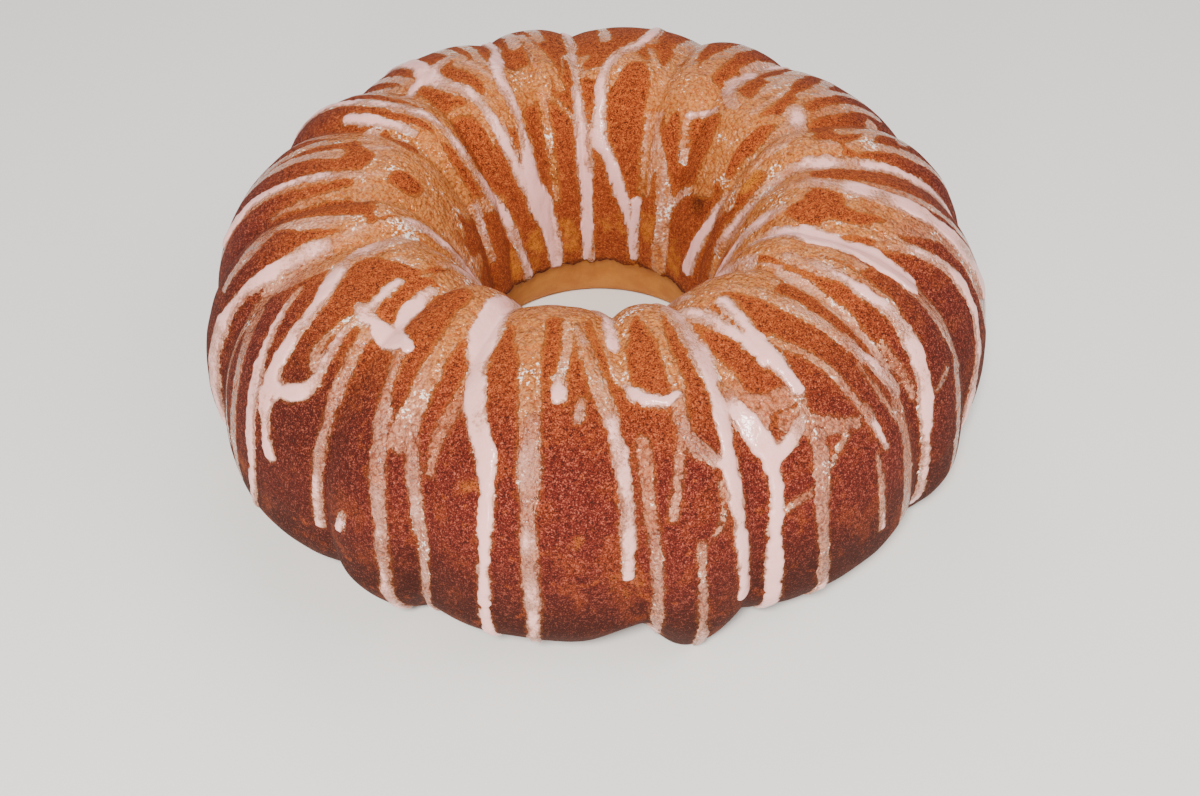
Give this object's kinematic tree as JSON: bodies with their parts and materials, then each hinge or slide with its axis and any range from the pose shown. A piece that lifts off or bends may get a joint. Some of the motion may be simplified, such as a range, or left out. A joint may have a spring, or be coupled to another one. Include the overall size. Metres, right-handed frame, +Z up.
{
  "type": "bundt cake",
  "caption": "Ring-shaped fluted bundt cake with a hole through its middle, a browned crust and white icing poured over the crown that runs down the sides.",
  "frame": {"origin": "centre of the hole, at the level that the cake rests on", "axes": "+Z up along the hole; the side that faces the camera in the picture is towards -Y"},
  "size_m": [0.2536, 0.253, 0.0868],
  "materials": {
    "crust": "browned baked crust, pitted by small air bubbles",
    "icing": "white poured sugar icing with a soft gloss, fused to the crust"
  },
  "bodies": {
    "root": {"bundt_cake": "crust"}
  },
  "joints": []
}
